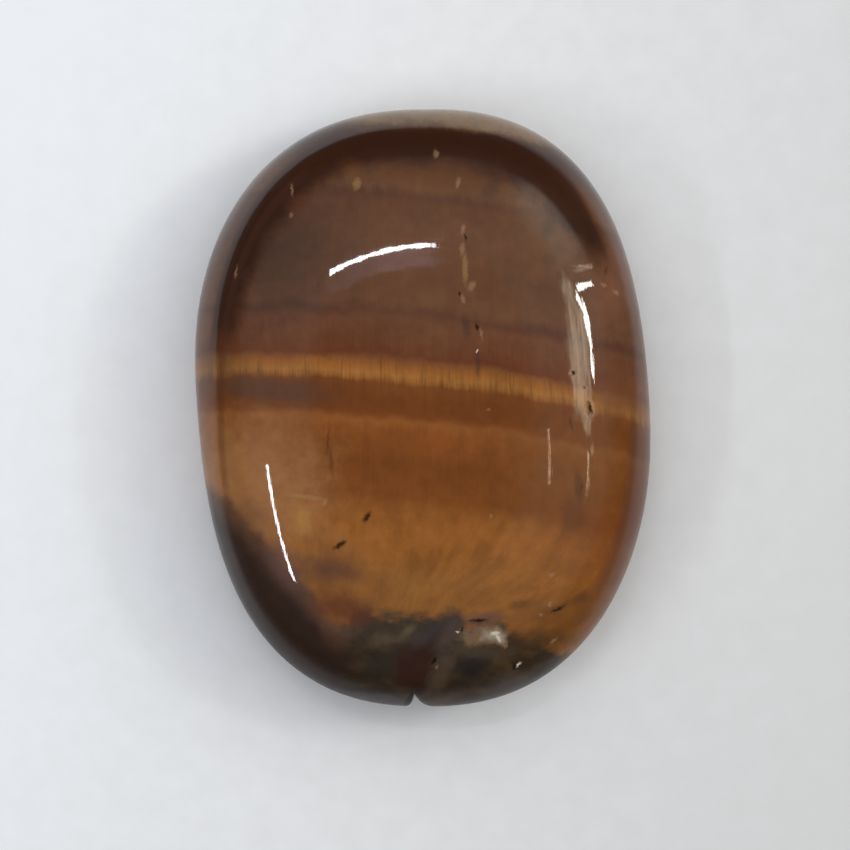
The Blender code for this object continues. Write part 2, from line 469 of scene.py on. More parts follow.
FACETS = (
    Facet("dark green body left of the wedge",
          ((-1.76, -18.12), (-1.69, -15.84), (-3.07, -16.05), (-3.86, -16.68), (-4.07, -17.79)),
          (44, 40, 31), 0.80, 0.45),
    Facet("maroon wedge",
          ((-1.96, -18.26), (-1.11, -18.69), (-0.12, -18.76), (1.00, -16.86), (1.13, -16.04),
           (-0.70, -15.37), (-1.62, -15.77)),
          (52, 29, 22), 0.88, 0.46),
    Facet("brown ridge beside the wedge",
          ((0.61, -17.55), (0.08, -18.83), (0.94, -18.83), (1.66, -17.69), (2.25, -16.32), (1.39, -16.04)),
          (78, 62, 49), 0.80, 0.34),
    Facet("blue grey arm",
          ((1.13, -15.71), (2.24, -15.10), (2.83, -14.04), (2.40, -13.24), (1.13, -13.70),
           (-0.77, -14.97), (-0.64, -15.64)),
          (56, 45, 43), 0.86, 0.42),
    Facet("lighter side of the arm",
          ((0.90, -15.55), (2.24, -15.20), (2.70, -14.20), (2.10, -13.90), (1.20, -14.70)),
          (84, 64, 52), 0.50, 0.40),
    # Painted reflection: the pale patch is light mirrored off the end, painted into the colour.
    Facet("painted reflection, pale patch at the end",
          ((2.40, -15.15), (3.00, -15.55), (5.40, -15.55), (5.60, -14.95), (4.90, -14.40),
           (3.42, -14.34), (2.60, -14.60)),
          (132, 104, 78), 0.80, 0.34),
    # Painted highlight: the bright core of the pale patch.
    Facet("painted highlight, bright core of the pale patch",
          ((3.95, -15.10), (5.20, -15.45), (5.45, -15.05), (4.90, -14.66), (4.05, -14.70)),
          (188, 174, 152), 0.60, 0.36),
)

DARK_LIMIT = (
    (-15.5, -4.8), (-14.4, -5.2), (-13.0, -5.8), (-12.4, -6.4), (-11.6, -7.3), (-10.7, -8.1), (-9.4, -9.8),
    (-8.0, -11.0), (-7.2, -12.1), (-6.5, -13.4), (-5.8, -14.1), (-4.8, -14.1), (-4.5, -13.0), (-1.5, -13.4),
    (2.1, -13.4), (3.0, -13.9), (5.0, -14.0), (6.5, -14.7), (8.3, -15.6), (10.0, -16.6), (15.5, -19.6),
)


@dataclass(frozen=True)
class Band:
    """One stop in the row of bands: how far along the stone it lies, and its colour on a screen."""

    along: float
    colour: ScreenColour


BANDS = (
    Band(20.0, (130, 102, 72)),
    Band(19.2, (120, 92, 62)),
    # Partly painted shade: these dark bands by the plain end hold the stone's own brown and the painted
    # darkening of the steep end.
    Band(18.6, (76, 46, 26)),
    Band(18.0, (58, 29, 13)),
    Band(17.2, (62, 32, 14)),
    Band(15.4, (95, 57, 30)),
    Band(14.2, (104, 68, 42)),
    Band(13.65, (87, 53, 34)),
    Band(13.1, (96, 59, 36)),
    Band(11.4, (97, 61, 38)),
    Band(9.0, (100, 64, 40)),
    Band(6.6, (102, 66, 43)),
    Band(5.9, (88, 54, 38)),
    Band(5.3, (106, 64, 41)),
    Band(4.3, (106, 63, 38)),
    Band(3.1, (102, 54, 28)),
    Band(2.75, (128, 78, 38)),
    Band(2.3, (150, 92, 38)),
    Band(1.9, (155, 102, 47)),
    Band(1.6, (146, 92, 40)),
    Band(1.25, (116, 65, 25)),
    Band(0.3, (110, 59, 20)),
    Band(-0.7, (114, 60, 20)),
    Band(-1.15, (138, 82, 36)),
    Band(-1.8, (130, 72, 26)),
    Band(-4.0, (118, 64, 20)),
    Band(-6.0, (122, 67, 22)),
    Band(-6.9, (138, 82, 32)),
    Band(-8.2, (148, 90, 36)),
    Band(-12.0, (140, 88, 32)),
    Band(-20.0, (128, 78, 32)),
)


@dataclass(frozen=True)
class StoneShape:
    """The stone's surface: an oval dome over a full round edge, with a flat underneath.

    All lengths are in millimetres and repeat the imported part's. The marks with a depth are cut in.
    """

    half_width: float = 15.15
    half_length: float = 20.0
    squareness: float = 2.4
    edge_waves: tuple[tuple[int, float, float], ...] = (
        (2, 0.21, -91), (3, 0.10, 100), (4, 0.13, -77), (5, 0.04, -44),
    )
    girdle_height: float = 4.0
    dome_rise: float = 6.4
    dome_power: float = 3.4
    flat_share: float = 0.74
    notch_direction: float = 268.3
    notch_depth: float = 0.85
    notch_steep_width: float = 0.20
    notch_easy_width: float = 0.50
    notch_power: float = 1.15
    notch_lean: float = 0.80
    notch_softness: float = 0.25
    hollows: tuple[Hollow, ...] = (
        Hollow((0.60, -16.40), (2.9, 0.55), 56, 0.16),
        Hollow((4.40, -15.90), (1.6, 0.85), -12, 0.17),
    )
    marks: tuple[Mark, ...] = MARKS
    around: int = 620
    dome_rings: int = 112
    edge_rings: int = 24
    flat_rings: int = 8

    def outline(self, direction: np.ndarray) -> np.ndarray:
        """Distance from the pole to the outline.

        It is a superellipse, (|cos| / half width)^n + (|sin| / half length)^n to the power -1/n,
        plus low waves height * cos(count * direction - crest).

        Args:
            direction: Angles from +X, in radians.

        Returns:
            The distances.
        """
        across = np.abs(np.cos(direction)) / self.half_width
        along = np.abs(np.sin(direction)) / self.half_length
        radius = (across**self.squareness + along**self.squareness) ** (-1 / self.squareness)
        for count, height, crest in self.edge_waves:
            radius = radius + height * np.cos(count * direction - math.radians(crest))
        return radius

    def notch(self, direction: np.ndarray, inset: np.ndarray) -> np.ndarray:
        """How far the notch draws the surface in: a sharp V with nearly upright walls.

        At the outline it is e = depth * exp(-|off / width|^power), where off is the way round the edge
        and the width is smaller on the steep side. Further in it is e * (l + sqrt(l^2 + softness^2)) / 2
        with l = 1 - lean * inset / e, so it runs out where the surface itself lies further in.

        Args:
            direction: Angles from +X, in radians.
            inset: How far inside the outline the surface lies.

        Returns:
            The distances inwards.
        """
        turned = direction - math.radians(self.notch_direction)
        off = np.arctan2(np.sin(turned), np.cos(turned)) * self.half_length
        width = np.where(off > 0, self.notch_easy_width, self.notch_steep_width)
        at_edge = self.notch_depth * np.exp(-(np.abs(off / width) ** self.notch_power)) + 1e-9
        left = 1 - self.notch_lean * inset / at_edge
        cut = at_edge * (left + np.hypot(left, self.notch_softness)) / 2
        return np.where(at_edge < 1e-4, 0.0, cut)

    def middle(self) -> np.ndarray:
        """The middle of the outline's box, from the pole, which the origin stands under.

        Returns:
            Its X and Y.
        """
        direction = np.linspace(0, 2 * math.pi, 7200, endpoint=False)
        radius = self.outline(direction) - self.notch(direction, np.zeros_like(direction))
        edge = np.stack([radius * np.cos(direction), radius * np.sin(direction)])
        return (edge.min(axis=1) + edge.max(axis=1)) / 2

    def bowls(self, x: np.ndarray, y: np.ndarray) -> np.ndarray:
        """Depth of the shallow hollows: depth * exp(-(along / half)^2 - (across / half)^2) each.

        Args:
            x: X of the places, from the pole.
            y: Y of the places, from the pole.

        Returns:
            The depths.
        """
        depth = np.zeros_like(x)
        for hollow in self.hollows:
            along, across = turned_offsets(x, y, hollow.middle, hollow.turn)
            depth += hollow.depth * np.exp(
                -((along / hollow.halves[0]) ** 2) - (across / hollow.halves[1]) ** 2
            )
        return depth

    def pits(self, x: np.ndarray, y: np.ndarray) -> np.ndarray:
        """Depth of the small marks: depth * exp(-distance^4), so each has steep sides and a flat foot.

        Args:
            x: X of the places in the stone's own frame.
            y: Y of the places in the stone's own frame.

        Returns:
            The depths.
        """
        depth = np.zeros_like(x)
        for mark in self.marks:
            if mark.depth:
                along, across = turned_offsets(x, y, mark.middle, mark.turn)
                distance = np.hypot(along / mark.halves[0], across / mark.halves[1])
                depth += mark.depth * np.exp(-(distance**4))
        return depth

    def directions(self) -> np.ndarray:
        """Angles of the section lines, crowded at the notch and beside the pits of the right side.

        The crowding is 1 + 12 * exp(-(off / 2.4 degrees)^2) at the notch, and 0.9 * exp(-(off / 24
        degrees)^4) more at the right side.

        Returns:
            The angles, in radians.
        """
        fine = np.linspace(0, 2 * math.pi, 14401)
        at_notch = np.exp(-(((fine - math.radians(self.notch_direction)) / math.radians(2.4)) ** 2))
        from_side = np.arctan2(np.sin(fine), np.cos(fine))
        at_side = np.exp(-((from_side / math.radians(24)) ** 4))
        crowding = 1 + 12 * at_notch + 0.9 * at_side
        share = np.concatenate([[0], np.cumsum((crowding[1:] + crowding[:-1]) / 2)])
        return np.interp(np.arange(self.around) / self.around, share / share[-1], fine)

    def section(self) -> np.ndarray:
        """The section from the crown to the flat's middle.

        Dome: share = cos(rise)^(2 / power), height = girdle + dome rise * sin(rise). Edge:
        share = flat + (1 - flat) * cos(rise), height = girdle * (1 - sin(rise)). The rings are even in
        length along the dome and in angle down the edge.

        Returns:
            One row a ring: share of the outline's radius, height, and 1 on the dome or 0 below it.
        """
        fine = np.linspace(math.pi / 2, 0, 6001)
        share = np.cos(fine) ** (2 / self.dome_power)
        height = self.girdle_height + self.dome_rise * np.sin(fine)
        run = np.hypot(np.diff(share) * self.half_width, np.diff(height))
        length = np.concatenate([[0], np.cumsum(run)])
        rise = np.interp(np.arange(1, self.dome_rings + 1) / self.dome_rings, length / length[-1], fine)
        share = np.cos(rise) ** (2 / self.dome_power)
        height = self.girdle_height + self.dome_rise * np.sin(rise)
        dome = np.stack([share, height, np.ones_like(rise)], axis=1)
        rise = math.pi / 2 * np.arange(1, self.edge_rings + 1) / self.edge_rings
        share = self.flat_share + (1 - self.flat_share) * np.cos(rise)
        edge = np.stack([share, self.girdle_height * (1 - np.sin(rise)), 0 * rise], axis=1)
        share = self.flat_share * (1 - np.arange(1, self.flat_rings) / self.flat_rings)
        flat = np.stack([share, 0 * share, 0 * share], axis=1)
        return np.concatenate([dome, edge, flat])

    def surface(self) -> np.ndarray:
        """The grid of surface points, ring by ring, with the notch, hollows and pits in it.

        Returns:
            An array of rings by lines by X, Y, Z, in millimetres in the stone's own frame.
        """
        direction = self.directions()[None, :]
        share, height, dome = (column[:, None] for column in self.section().T)
        outline = self.outline(direction)
        radius = outline * share - self.notch(direction, outline * (1 - share))
        x, y = radius * np.cos(direction), radius * np.sin(direction)
        middle = self.middle()
        depth = self.bowls(x, y) + self.pits(x - middle[0], y - middle[1])
        z = np.broadcast_to(height, x.shape) - depth * dome
        return np.stack([x - middle[0], y - middle[1], z], axis=2)

    def height_at(self, x: float, y: float) -> float:
        """Height of the dome over a place in the stone's own frame, without hollows and pits.

        Args:
            x: X of the place.
            y: Y of the place.

        Returns:
            The height.
        """
        px, py = np.array([x, y]) + self.middle()
        share = math.hypot(px, py) / float(self.outline(np.array(math.atan2(py, px))))
        return self.girdle_height + self.dome_rise * math.sqrt(max(0.0, 1 - share**self.dome_power))

    def mesh(self, name: str, box: tuple[np.ndarray, np.ndarray]) -> bpy.types.Mesh:
        """Makes the closed mesh: the grid's quads, a fan at the crown and a fan under the flat.

        Args:
            name: The mesh's name.
            box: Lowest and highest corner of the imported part, in metres, which the mesh stays inside.

        Returns:
            The mesh, smooth and in metres.
        """
        grid = self.surface() * MM
        crown = grid[0].mean(axis=0) * (1, 1, 0) + (0, 0, (self.girdle_height + self.dome_rise) * MM)
        foot = grid[-1].mean(axis=0) * (1, 1, 0)
        points = np.concatenate([grid.reshape(-1, 3), crown[None], foot[None]])
        points = kept_inside(points, *box)
        rings, lines = grid.shape[:2]
        ring = np.arange(rings - 1)[:, None] * lines
        step = np.arange(lines)[None, :]
        after = (step + 1) % lines
        quads = np.stack([ring + step, ring + lines + step, ring + lines + after, ring + after], axis=2)
        here, there = np.arange(lines), (np.arange(lines) + 1) % lines
        last = (rings - 1) * lines
        over = np.stack([np.full(lines, len(points) - 2), here, there], axis=1)
        under = np.stack([np.full(lines, len(points) - 1), last + there, last + here], axis=1)
        faces = quads.reshape(-1, 4).tolist() + over.tolist() + under.tolist()
        mesh = bpy.data.meshes.new(name)
        mesh.from_pydata(points.tolist(), [], faces)
        mesh.shade_smooth()
        mesh.update()
        return mesh


def turned_offsets(x: np.ndarray, y: np.ndarray, middle: Pair,
                   turn: float) -> tuple[np.ndarray, np.ndarray]:
    """Offsets from a middle, measured along and across a line turned from +X.

    Args:
        x: X of the places.
        y: Y of the places.
        middle: X and Y of the middle.
        turn: The line's turn in degrees.

    Returns:
        The offsets along the line and across it.
    """
    cosine, sine = math.cos(math.radians(turn)), math.sin(math.radians(turn))
    dx, dy = x - middle[0], y - middle[1]
    return dx * cosine + dy * sine, dy * cosine - dx * sine


def kept_inside(points: np.ndarray, low: np.ndarray, high: np.ndarray) -> np.ndarray:
    """Draws points in by the hair's breadth that keeps them in a box.

    Each axis is scaled about the box's middle by the box's size over the points' size, at most 1.

    Args:
        points: The points, one a row.
        low: The box's lowest corner.
        high: The box's highest corner.

    Returns:
        The points, inside the box.
    """
    middle = (low + high) / 2
    reach = np.maximum(np.abs(points.min(axis=0) - middle), np.abs(points.max(axis=0) - middle))
    scale = np.minimum(1.0, (high - low) / 2 / reach * (1 - 1e-6))
    return middle + (points - middle) * scale


@dataclass(frozen=True)
class TigerEyeFinish:
    """The polished tiger's eye: golden brown bands crossed by silky fibres, under a clear gloss.

    Colours are as a screen shows them. A place's share of the outline is 0 in the stone's middle and 1
    at its outline. An edge is a pair: where a soft step starts and where it ends.

    Attributes:
        bands: The row of bands from the plain end to the notched end.
        patches: Broad areas of other colours under the dark end.
        end_patches: Broad areas of other colours over the dark end.
        facets: The straight-edged minerals over both.
        marks: The small marks in the polish.
        dark_limit: X, and the Y below which the dark end lies.
        rim_polish: Y, and how well the rim is polished there.
        rim_start: Y, and what is added there to the share of the outline, for the polish.
        painted_shade_collar_end: X, and what is added there to the share of the outline, for the outer edge
            of the painted shade collar.
        slope: How fast a band drops to the right, in millimetres a millimetre.
        bow: How much a band bends down at both sides, in 1/mm.
        dip: How fast a band shifts with depth, in millimetres a millimetre.
        level: The height at which the bands lie as their row says.
        sweep_from: Y below which the fibres of the right half bend to the left.
        sweep: How strongly they bend, in 1/mm.
        sweep_edge: X where they start to bend, as an edge.
        stripe_foot: Edge of the golden stripe towards the notched end.
        stripe_head: Edge of the golden stripe towards the plain end.
        dark_fibre: Colour of the few dark fibres in the stripe.
        bright_fibre: Colour of the brighter fibres in the gold of the notched end.
        dull_fibre: Colour of the duller fibres there.
        matrix: The two colours of the mineral at the notched end.
        smoke: Colour of the smoke at its edge, and deep in it.
        painted_shade_collar: Colour of the painted shade collar, a dark band inside the upper rim.
        painted_shade_collar_inside: Inner edge of the painted shade collar, as a share of the outline.
        painted_shade_collar_outside: Outer edge of the painted shade collar.
        painted_shade_collar_foot: Edge across the stone below which the painted shade collar ends.
        painted_shade_collar_drop: How fast that edge falls to the left, on the right half and on the left
            half.
        left_rim_painted_shade: Colour of the dark line of painted shade inside the left rim.
        right_shade: Colour of the painted shade inside the right rim.
        right_shade: Colour of the shade inside the right rim.
        dome_edge: Where the dome's polish ends, as a share of the outline.
        rim_edge: Where the rim's own polish starts.
        worn_polish: How well the ring between them is polished.
        inner_shine: How much the fibres themselves shine.
        silk: How much the glow under the polish is drawn out across the fibres.
        gloss_roughness: Roughness of the clear polish.
        quartz_index: How strongly clear quartz bends light.
    """

    bands: tuple[Band, ...] = BANDS
    patches: tuple[Patch, ...] = PATCHES
    end_patches: tuple[Patch, ...] = END_PATCHES
    facets: tuple[Facet, ...] = FACETS
    marks: tuple[Mark, ...] = MARKS
    dark_limit: Curve = DARK_LIMIT
    rim_polish: Curve = (
        (-20.5, 0.20), (-17.0, 0.26), (-12.0, 0.48), (-4.0, 0.56), (8.0, 0.62), (14.0, 0.85), (20.5, 0.90),
    )
    rim_start: Curve = ((-20.5, -0.034), (-14.0, -0.016), (-6.0, -0.003), (8.0, 0.0), (20.5, -0.012))
    painted_shade_collar_end: Curve = (
        (-15.5, 0.010), (-12.0, 0.004), (-7.0, 0.000), (-3.0, 0.028), (3.0, 0.026), (7.0, 0.002),
        (9.2, 0.010), (12.5, 0.044), (15.5, 0.060),
    )
    slope: float = 0.105
    bow: float = 0.004
    dip: float = 0.08
    level: float = 9.0
    sweep_from: float = -6.0
    sweep: float = 0.10
    sweep_edge: Pair = (-4.0, 3.0)
    stripe_foot: Pair = (1.2, 1.6)
    stripe_head: Pair = (2.7, 3.1)
    dark_fibre: ScreenColour = (96, 54, 24)
    bright_fibre: ScreenColour = (164, 108, 48)
    dull_fibre: ScreenColour = (110, 64, 24)
    matrix: tuple[ScreenColour, ScreenColour] = ((45, 36, 27), (66, 53, 36))
    smoke: tuple[ScreenColour, ScreenColour] = ((94, 63, 46), (43, 30, 25))
    # Painted shade: the collar, the left line and the right shade are dark bands painted inside the rim.
    painted_shade_collar: ScreenColour = (52, 27, 16)
    painted_shade_collar_inside: Pair = (0.775, 0.850)
    painted_shade_collar_outside: Pair = (0.930, 0.962)
    painted_shade_collar_foot: Pair = (6.8, 9.8)
    painted_shade_collar_drop: Pair = (0.127, 0.30)
    left_rim_painted_shade: ScreenColour = (78, 46, 36)
    right_shade: ScreenColour = (84, 51, 39)
    dome_edge: Pair = (0.835, 0.872)
    rim_edge: Pair = (0.900, 0.930)
    worn_polish: float = 0.04
    inner_shine: float = 0.05
    silk: float = 0.6
    gloss_roughness: float = 0.025
    quartz_index: float = 1.544

    def material(self, shape: StoneShape) -> bpy.types.Material:
        """Makes the stone's material.

        Args:
            shape: The stone's shape, which says how high each mark lies.

        Returns:
            The material.
        """
        material = bpy.data.materials.new("polished tiger's eye")
        material.use_nodes = True
        desk = NodeDesk(material.node_tree)
        surface = material.node_tree.nodes["Principled BSDF"]
        coordinates = desk.add("ShaderNodeTexCoord", {}).outputs["Object"]
        place = desk.vector("MULTIPLY", coordinates, (1 / MM, 1 / MM, 1 / MM))
        fibres = self.fibre_place(desk, place)
        hair = desk.noise(fibres, (7.5, 0.42, 7.5), 2.0)
        strand = desk.noise(fibres, (1.7, 0.16, 1.7), 2.0)
        cloud = desk.noise(place, (0.33, 0.45, 0.33), 3.0)
        along = self.along_bands(desk, place, hair, strand, cloud)
        colour = self.band_colour(desk, along, fibres, hair, strand, cloud)
        wander = desk.centred(desk.noise(place, (0.9, 0.9, 0.9), 3.0, 0.6), 0.16)
        colour = self.with_patches(desk, place, colour, self.patches, wander)
        colour = self.with_dark_end(desk, place, colour)
        colour = self.with_patches(desk, place, colour, self.end_patches, wander)
        colour = self.with_facets(desk, place, colour)
        rim = self.rim_share(desk, place, shape)
        # Painted shade inside the rim.
        colour = self.with_rim(desk, place, colour, rim)
        colour, pitted = self.with_marks(desk, place, colour, shape)
        silkiness = desk.math("MULTIPLY_ADD", strand, 0.30, 0.24)
        polish = self.gloss(desk, place, rim, pitted)
        relief = self.relief(desk, place, hair)
        tangent = desk.add("ShaderNodeTangent", {}, direction_type="RADIAL", axis="Y").outputs[0]
        desk.feed(surface, {
            "Base Color": colour, "Roughness": silkiness, "Normal": relief, "Tangent": tangent,
            "Anisotropic": self.silk, "Specular IOR Level": self.inner_shine,
            "Coat Weight": polish, "Coat Normal": relief,
            "Coat Roughness": self.gloss_roughness, "Coat IOR": self.quartz_index,
        })
        return material

    def fibre_place(self, desk: NodeDesk, place: Feed) -> Socket:
        """The place with X shifted so that one fibre keeps one X.

        Shift = sweep * (sweep_from - Y)^2 where Y is below sweep_from, and only in the right half.

        Args:
            desk: The node desk.
            place: The place in the stone.

        Returns:
            The shifted place.
        """
        x, y, z = desk.split(place)
        below = desk.math("MAXIMUM", desk.math("SUBTRACT", self.sweep_from, y), 0.0)
        shift = desk.times(below, below, self.sweep, desk.rise(x, *self.sweep_edge))
        return desk.join(desk.total(x, shift), y, z)

    def along_bands(self, desk: NodeDesk, place: Feed, hair: Feed, strand: Feed,
                    cloud: Feed) -> Socket:
        """How far along the row of bands a place lies.

        Y + slope * X + bow * X^2 - dip * (Z - level), with a frayed edge from the fibres and slow waves.

        Args:
            desk: The node desk.
            place: The place in the stone.
            hair: Noise of the finest fibres.
            strand: Noise of the coarser fibres.
            cloud: Slow noise.

        Returns:
            The way along, in millimetres.
        """
        x, y, z = desk.split(place)
        tilt = desk.math("MULTIPLY_ADD", x, self.bow, self.slope)
        sunk = desk.math("MULTIPLY_ADD", z, -self.dip, self.dip * self.level)
        frayed = desk.total(desk.centred(hair, 0.05), desk.centred(strand, 0.09), desk.centred(cloud, 0.20))
        return desk.total(y, desk.times(x, tilt), sunk, frayed)

    def band_colour(self, desk: NodeDesk, along: Feed, fibres: Feed, hair: Feed, strand: Feed,
                    cloud: Feed) -> Socket:
        """The bands' colours, streaked by the fibres.

        The golden stripe is streaked more than the brown, and a few of its fibres are dark. The gold of
        the notched end has hardly any fine streaks, and is mottled with bright and dull fibres.

        Args:
            desk: The node desk.
            along: How far along the row of bands the place lies.
            fibres: The place, shifted so that one fibre keeps one X.
            hair: Noise of the finest fibres.
            strand: Noise of the coarser fibres.
            cloud: Slow noise.

        Returns:
            The colour.
        """
        length = self.bands[0].along - self.bands[-1].along
        ramp = desk.add("ShaderNodeValToRGB", {0: desk.math("MULTIPLY_ADD", along, 1 / length, 0.5)})
        stops = ramp.color_ramp.elements
        for band in reversed(self.bands[1:-1]):
            stops.new(band.along / length + 0.5).color = seen(*band.colour)
        stops[0].color = seen(*self.bands[-1].colour)
        stops[len(stops) - 1].color = seen(*self.bands[0].colour)
        stripe = desk.times(desk.rise(along, *self.stripe_foot), desk.fall(along, *self.stripe_head))
        lower = desk.fall(along, -6.8, -0.8)
        lively = desk.total(0.30, desk.times(stripe, 0.6), desk.times(lower, 0.10))
        fine = desk.centred(hair, 0.12)
        fine = desk.math("MULTIPLY_ADD", desk.times(fine, desk.fall(along, -7.5, -5.0)), -0.85, fine)
        streaks = desk.total(fine, desk.centred(strand, 0.15))
        streaks = desk.total(desk.times(streaks, lively), desk.centred(cloud, 0.10), 1.0)
        colour = desk.scaled(ramp.outputs[0], streaks)
        split = desk.noise(fibres, (4.1, 0.30, 4.1), 2.0)
        dark = desk.times(desk.rise(split, 0.58, 0.70), stripe, 0.34)
        colour = desk.mix(dark, colour, seen(*self.dark_fibre))
        mottle = desk.noise(fibres, (0.7, 0.45, 0.7), 3.0, 0.6)
        gold = desk.fall(along, -7.6, -5.0)
        bright = desk.times(desk.rise(mottle, 0.50, 0.68), gold, 0.24)
        colour = desk.mix(bright, colour, seen(*self.bright_fibre))
        dull = desk.times(desk.fall(mottle, 0.34, 0.50), gold, 0.30)
        return desk.mix(dull, colour, seen(*self.dull_fibre))

    def with_dark_end(self, desk: NodeDesk, place: Feed, under: Feed) -> Socket:
        """Lays the dark matrix over the notched end, and smooth smoke over the lower left.

        Both lie below the dark limit, a row of heights across the stone. The matrix has a ragged edge.
        The smoke is what lies left of X = -5, and it goes from brown at its edge to nearly black.

        Args:
            desk: The node desk.
            place: The place in the stone.
            under: The colour so far.

        Returns:
            The colour with the dark end.
        """
        x, y, _ = desk.split(place)
        ragged = desk.noise(place, (0.9, 1.2, 0.9), 4.0, 0.6)
        below = desk.math("SUBTRACT", desk.lookup(x, self.dark_limit), y)
        speckle = desk.noise(place, (0.8, 1.1, 0.8), 3.0)
        matrix = desk.mix(desk.rise(speckle, 0.38, 0.66), *(seen(*shade) for shade in self.matrix))
        deep = desk.total(below, desk.centred(ragged, 0.40))
        right = desk.rise(x, -7.0, -5.0, 0.95)
        matrixed = desk.mix(desk.times(desk.rise(deep, -0.35, 0.75), right), under, matrix)
        smoky = desk.total(below, desk.centred(ragged, 0.25))
        smoke = desk.mix(desk.rise(smoky, 0.1, 2.6), *(seen(*shade) for shade in self.smoke))
        left = desk.fall(x, -6.0, -3.6)
        return desk.mix(desk.times(desk.rise(smoky, -0.5, 0.7, 0.96), left), matrixed, smoke)

    def with_patches(self, desk: NodeDesk, place: Feed, under: Feed, patches: tuple[Patch, ...],
                     wander: Feed) -> Socket:
        """Lays broad patches over the colour.

        Args:
            desk: The node desk.
            place: The place in the stone.
            under: The colour so far.
            patches: The patches, the lowest first.
            wander: Noise about 0 that makes their edges wander.

        Returns:
            The colour with the patches.
        """
        colour = under
        for patch in patches:
            middle, halves = (*patch.middle, PATCH_HEIGHT), (*patch.halves, RIGHT_THROUGH)
            distance = desk.total(desk.ellipse(place, middle, halves, patch.turn), wander)
            share = desk.fall(distance, 1 - patch.soft, 1 + patch.soft * 0.5, patch.strength)
            share.node.label = patch.name
            colour = desk.mix(share, colour, seen(*patch.colour))
        return colour

    def with_facets(self, desk: NodeDesk, place: Feed, under: Feed) -> Socket:
        """Lays the straight-edged bodies over the dark end, and then makes the whole slightly uneven.

        Args:
            desk: The node desk.
            place: The place in the stone.
            under: The colour so far.

        Returns:
            The colour with the bodies.
        """
        colour = under
        grain = desk.noise(place, (1.1, 1.1, 1.1), 3.0, 0.6)
        crumble = desk.centred(grain, 0.20)
        for facet in self.facets:
            within = desk.total(desk.inside(place, facet.corners), crumble)
            share = desk.rise(within, -facet.soft, facet.soft, facet.strength)
            share.node.label = facet.name
            colour = desk.mix(share, colour, seen(*facet.colour))
        return desk.scaled(colour, desk.total(desk.centred(grain, 0.09), 1.0))

    def rim_share(self, desk: NodeDesk, place: Feed, shape: StoneShape) -> Socket:
        """How far out a place lies: 0 in the middle and 1 at the outline.

        It is ((|x| / half width)^n + (|y| / half length)^n)^(1/n), with the outline's n.

        Args:
            desk: The node desk.
            place: The place in the stone.
            shape: The stone's shape.

        Returns:
            The share.
        """
        x, y, _ = desk.split(desk.vector("ABSOLUTE", place))
        across = desk.math("POWER", desk.math("DIVIDE", x, shape.half_width), shape.squareness)
        along = desk.math("POWER", desk.math("DIVIDE", y, shape.half_length), shape.squareness)
        return desk.math("POWER", desk.total(across, along), 1 / shape.squareness)

    def with_rim(self, desk: NodeDesk, place: Feed, under: Feed, rim: Feed) -> Socket:
        """Lays painted shade inside the rim: a dark collar inside the upper rim, a line inside the left and
        a shade inside the right.

        The painted shade collar reaches down to a bent line through the middle of its foot, lower on the
        left.

        Args:
            desk: The node desk.
            place: The place in the stone.
            under: The colour so far.
            rim: The place's share of the outline.

        Returns:
            The colour with all three.
        """
        x, y, _ = desk.split(place)
        ragged = desk.centred(desk.noise(place, (0.5, 0.5, 0.5), 3.0, 0.6), 0.022)
        inner = desk.total(rim, desk.times(x, 0.001), ragged)
        outer = desk.total(rim, desk.lookup(x, self.painted_shade_collar_end))
        # Painted shade: the dark collar inside the upper rim.
        inside = desk.rise(inner, *self.painted_shade_collar_inside, 0.93)
        painted_shade_collar = desk.times(inside, desk.fall(outer, *self.painted_shade_collar_outside))
        drop = desk.math("MINIMUM", *(desk.times(x, fall) for fall in self.painted_shade_collar_drop))
        upper = desk.rise(desk.math("SUBTRACT", y, drop), *self.painted_shade_collar_foot)
        colour = desk.mix(desk.times(painted_shade_collar, upper), under, seen(*self.painted_shade_collar))
        # Painted shade: a dark line inside the left rim.
        line = desk.times(desk.rise(rim, 0.850, 0.876, 0.40), desk.fall(rim, 0.884, 0.900))
        beside = desk.times(desk.rise(y, -7.5, -4.5), desk.fall(x, -9.0, -7.0))
        colour = desk.mix(desk.times(line, beside), colour, seen(*self.left_rim_painted_shade))
        # Painted shade inside the right rim.
        right = desk.times(
            desk.rise(rim, 0.875, 0.925), desk.rise(x, 6.0, 10.0), desk.rise(y, -16.0, -11.0, 0.55),
            desk.total(desk.fall(y, -4.0, 1.0, 0.75), 0.25),
        )
        return desk.mix(right, colour, seen(*self.right_shade))

    def gloss(self, desk: NodeDesk, place: Feed, rim: Feed, pitted: Feed) -> Socket:
        """How well polished a place is, from 0 to 1.

        The polish misses the pits. It is thin where the dome turns into the rim, and from there it
        comes back to the rim's own polish, which falls from the plain end to the notched end.

        Args:
            desk: The node desk.
            place: The place in the stone.
            rim: The place's share of the outline.
            pitted: How far the place lies in a pit.

        Returns:
            The share of the polish.
        """
        x, y, _ = desk.split(place)
        out = desk.total(rim, desk.lookup(y, self.rim_start))
        rim_polish = desk.lookup(y, self.rim_polish)
        turned = desk.math("MULTIPLY_ADD", x, -0.0012, out)
        rim_share = desk.rise(turned, *self.rim_edge)
        worn = desk.math("MULTIPLY_ADD", rim_share, rim_polish, self.worn_polish)
        outside = desk.times(desk.rise(out, *self.dome_edge), worn)
        polish = desk.total(desk.fall(out, *self.dome_edge), outside)
        return desk.times(desk.fall(pitted, 0.2, 0.9), polish)

